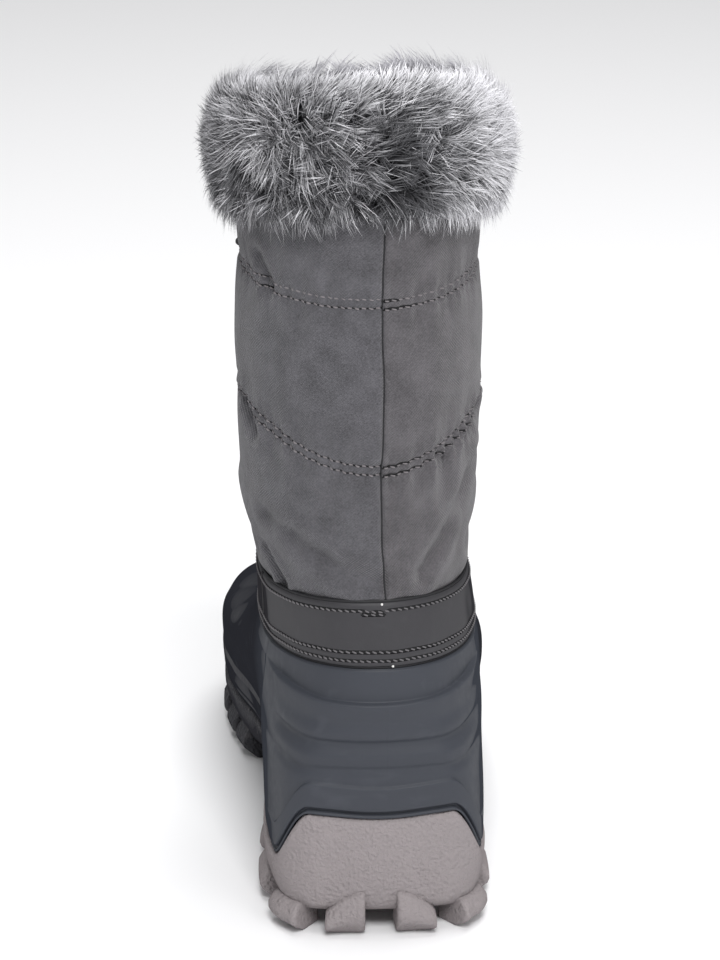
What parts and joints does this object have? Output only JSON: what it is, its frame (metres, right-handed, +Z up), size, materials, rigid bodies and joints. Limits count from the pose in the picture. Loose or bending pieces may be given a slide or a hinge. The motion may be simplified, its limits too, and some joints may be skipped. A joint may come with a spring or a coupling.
{
  "type": "snow boot",
  "caption": "Grey snow boot for the right foot, with a fur collar, quilted shaft, moulded rubber shell and lugged sole",
  "frame": {"origin": "middle of the heel's rest pad, on the floor plane", "axes": "+X towards the outer side of the right foot, +Y towards the toe, +Z up"},
  "size_m": [0.1151, 0.2962, 0.338],
  "materials": {
    "shell_rubber": "satin",
    "sole_rubber": "matte",
    "shaft_cloth": "matte",
    "band_leather": "satin",
    "webbing": "matte",
    "tongue_cloth": "matte",
    "lace_cord": "matte",
    "fur": "matte",
    "felt": "matte"
  },
  "bodies": {
    "root": {"outsole": "sole_rubber", "insole": "felt", "shell": "shell_rubber", "shaft": "shaft_cloth", "ankle_band": "band_leather", "facing_outer": "webbing", "facing_inner": "webbing", "tongue": "tongue_cloth", "fur_collar": "fur", "lace_loop_outer_1": "webbing", "lace_loop_inner_1": "webbing", "lace_loop_outer_2": "webbing", "lace_loop_inner_2": "webbing", "lace_loop_outer_3": "webbing", "lace_loop_inner_3": "webbing", "lace_loop_outer_4": "webbing", "lace_loop_inner_4": "webbing", "lace_loop_outer_5": "webbing", "lace_loop_inner_5": "webbing", "lace": "lace_cord"}
  },
  "joints": []
}
